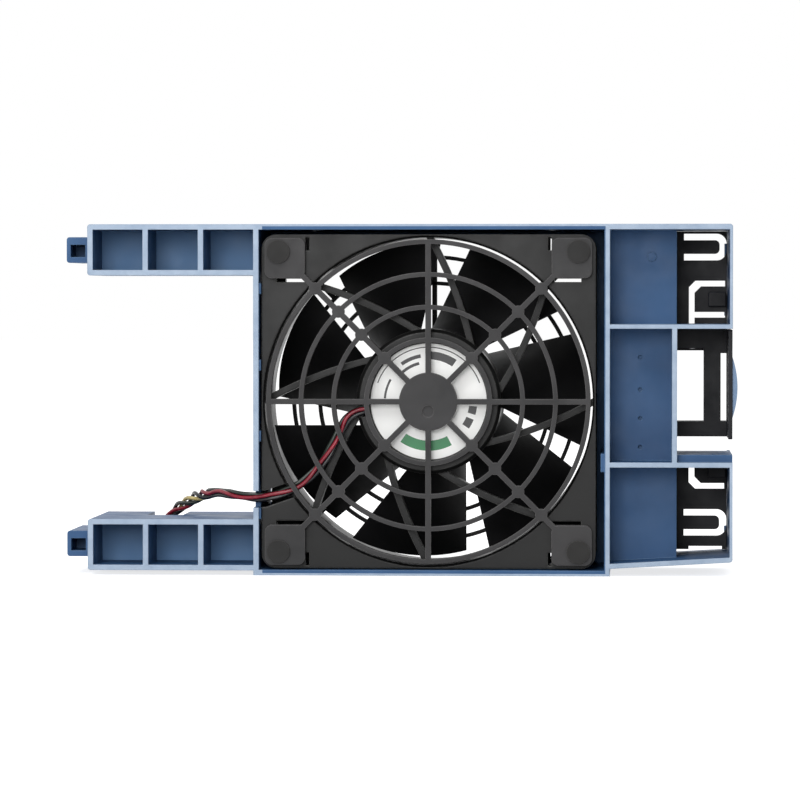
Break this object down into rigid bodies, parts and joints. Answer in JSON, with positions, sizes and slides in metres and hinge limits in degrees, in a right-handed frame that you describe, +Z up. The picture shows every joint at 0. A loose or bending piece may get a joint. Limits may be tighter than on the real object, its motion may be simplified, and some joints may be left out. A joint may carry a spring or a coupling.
{
  "type": "server fan module",
  "caption": "Hot-swap server fan in an open blue carrier: guarded impeller with a bent-strut stator, two hollow guide arms, a side block with a hinged release lever, and a short lead.",
  "frame": {"origin": "middle of the fan bay's bottom face, which the module stands on", "axes": "+X towards the release lever, +Y from the finger guard to the rear, +Z up"},
  "size_m": [0.1851, 0.044, 0.0966],
  "materials": {
    "carrier_blue": "satin moulded blue plastic with fine texture",
    "pad_blue": "lighter satin blue plastic",
    "retainer_black": "matte near-black plastic",
    "fan_black": "matte black glass-filled plastic",
    "guard_grey": "matte dark grey moulded plastic",
    "rivet_dark": "dark brownish grey rubber",
    "label_white": "white label film with plain printed bars",
    "steel": "ground steel",
    "lamination": "stacked electrical steel",
    "brass": "turned brass",
    "magnet": "bonded ferrite",
    "copper": "enamelled copper wire",
    "insulator": "natural nylon",
    "board": "green solder mask",
    "chips": "black epoxy",
    "wires": "PVC-insulated wires in red, black, yellow and brown",
    "plug_white": "natural nylon connector"
  },
  "bodies": {
    "root": {"module_frame": "carrier_blue", "upper_retainer": "retainer_black", "lower_retainer": "retainer_black", "latch_pin": "steel", "latch_spring": "steel", "fan_housing": "fan_black", "finger_guard": "guard_grey", "guard_rivets": "rivet_dark", "rear_isolators": "rivet_dark", "motor_label": "label_white", "bearing_tube": "brass", "front_bearing": "steel", "rear_bearing": "steel", "stator_core": "lamination", "front_insulator": "insulator", "rear_insulator": "insulator", "stator_coils": "copper", "circuit_board": "board", "board_parts": "chips", "fan_lead": "wires", "connector_housing": "plug_white", "connector_contacts": "steel"},
    "rotor": {"impeller": "fan_black", "rotor_yoke": "steel", "rotor_magnet": "magnet", "rotor_shaft": "steel", "shaft_insert": "brass", "retaining_clip": "steel", "preload_spring": "steel"},
    "release_latch": {"release_lever": "retainer_black", "finger_pad": "pad_blue"}
  },
  "joints": [
    {"name": "fan_spin", "type": "hinge", "parent": "root", "child": "rotor", "pos_m": [-0.0009, 0, 0.0478], "axis": [0, 1, 0], "continuous": true},
    {"name": "lever_swing", "type": "hinge", "parent": "root", "child": "release_latch", "pos_m": [0.0719, 0.0135, 0.06423], "axis": [0, 1, 0], "range_deg": [0, 4], "stiffness_Nm_per_rad": 0.03, "springref_deg": -5.73}
  ]
}
